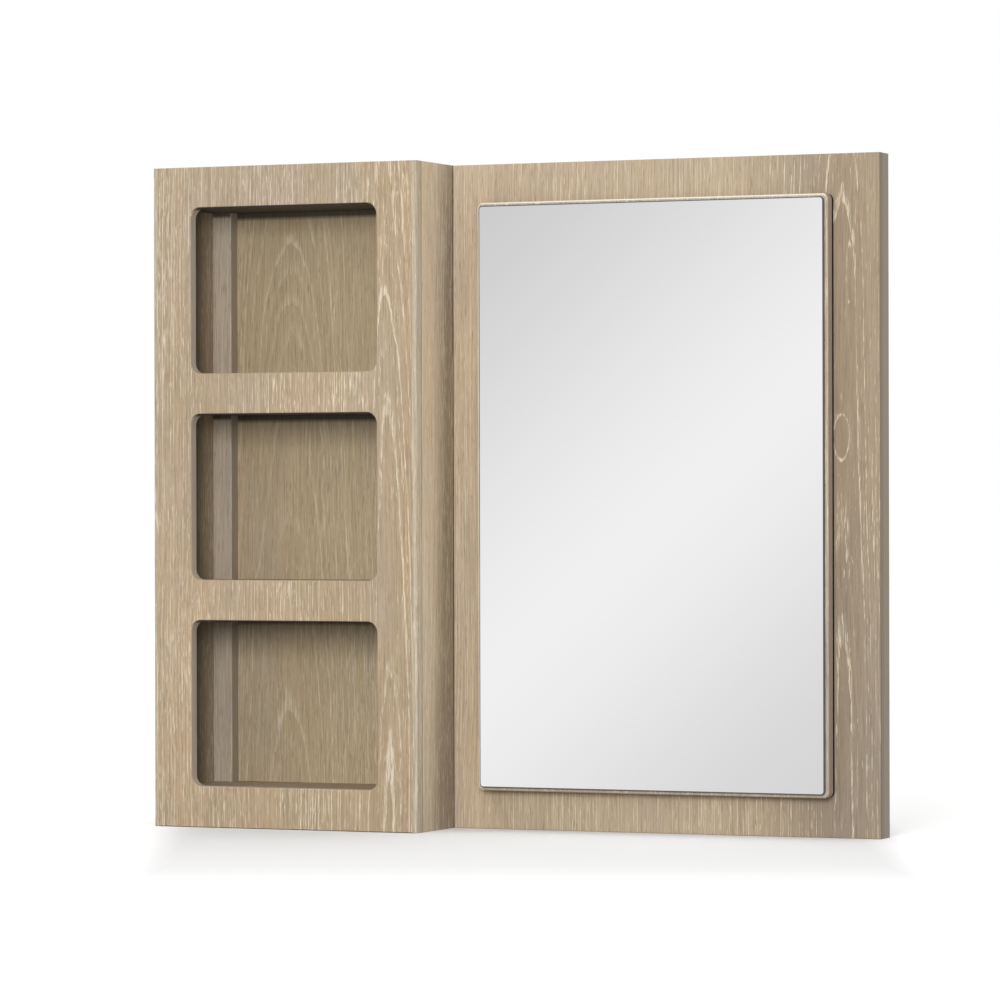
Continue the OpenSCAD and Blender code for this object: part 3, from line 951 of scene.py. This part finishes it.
# The pane shows a part of the screen with these half sizes, and the slope is measured on it
slant = add(
    tree,
    "VectorMath",
    {
        0: place.outputs["Object"],
        1: (slope[0] / shown_halves[0], slope[1] / shown_halves[1], 0),
    },
    operation="DOT_PRODUCT",
)
ramp = add(tree, "MapRange", {"Value": slant.outputs["Value"], "From Min": -1.2, "From Max": 1.2})
greys = add(tree, "ValToRGB", {0: ramp.outputs[0]})
greys.color_ramp.interpolation = "B_SPLINE"
band = (
    (0.0, "#D3D3D3"),
    (0.2, "#DEDEDE"),
    (0.45, "#FFFFFF"),
    (0.6, "#FFFFFF"),
    (0.8, "#E5E5E5"),
    (1.0, "#DDDDDD"),
)
set_stops(greys, [(position, linear(code)) for position, code in band])
light = add(tree, "Emission", {"Color": greys.outputs[0], "Strength": 1.0})
add(tree, "OutputMaterial", {"Surface": light.outputs[0]})
screen.data.materials.append(cloth)
screen.visible_camera = False
screen.visible_diffuse = False
screen.visible_shadow = False


# ---------- light ----------
# An even room with a white background, and one broad soft lamp in front of the object and a
# little to its right.

room_level = 0.75
lamp_place = Vector((0.99, -3.97, 1.2))
lamp_aim = Vector((0, 0, 0.5))

world = bpy.data.worlds.new("studio")
bpy.context.scene.world = world
world.use_nodes = True
tree = world.node_tree
tree.nodes.clear()
room = add(tree, "Background", {"Color": grey(1), "Strength": room_level})
white = add(tree, "Background", {"Color": grey(1), "Strength": 1.0})
sky = add(tree, "MixShader", {0: looked_at(tree), 1: room.outputs[0], 2: white.outputs[0]})
add(tree, "OutputWorld", {"Surface": sky.outputs[0]})

bpy.ops.object.light_add(type="AREA", location=lamp_place)
lamp = bpy.context.object
lamp.name = "key_light"
lamp.data.size = 1.3
lamp.data.energy = 90
lamp.rotation_euler = (lamp_aim - lamp_place).to_track_quat("-Z", "Y").to_euler()


# ---------- camera ----------
# A long lens at half the object's height, off to the right, as the photograph was taken. It
# starts level, looking along Y, and is rolled, pitched and turned.

camera_place = (2.9236, -6.7634, 0.5055)
pitch = math.radians(-0.021)
roll = math.radians(-0.126)

bpy.ops.object.camera_add()
camera = bpy.context.object
camera.name = "photo_camera"
camera.data.sensor_width = 36
camera.data.lens = 174.985
turned = Matrix.Rotation(yaw, 4, "Z")
pitched = Matrix.Rotation(math.pi / 2 + pitch, 4, "X")
rolled = Matrix.Rotation(roll, 4, "Z")
camera.matrix_world = Matrix.Translation(camera_place) @ turned @ pitched @ rolled
bpy.context.scene.camera = camera
bpy.context.scene.view_settings.view_transform = "Standard"
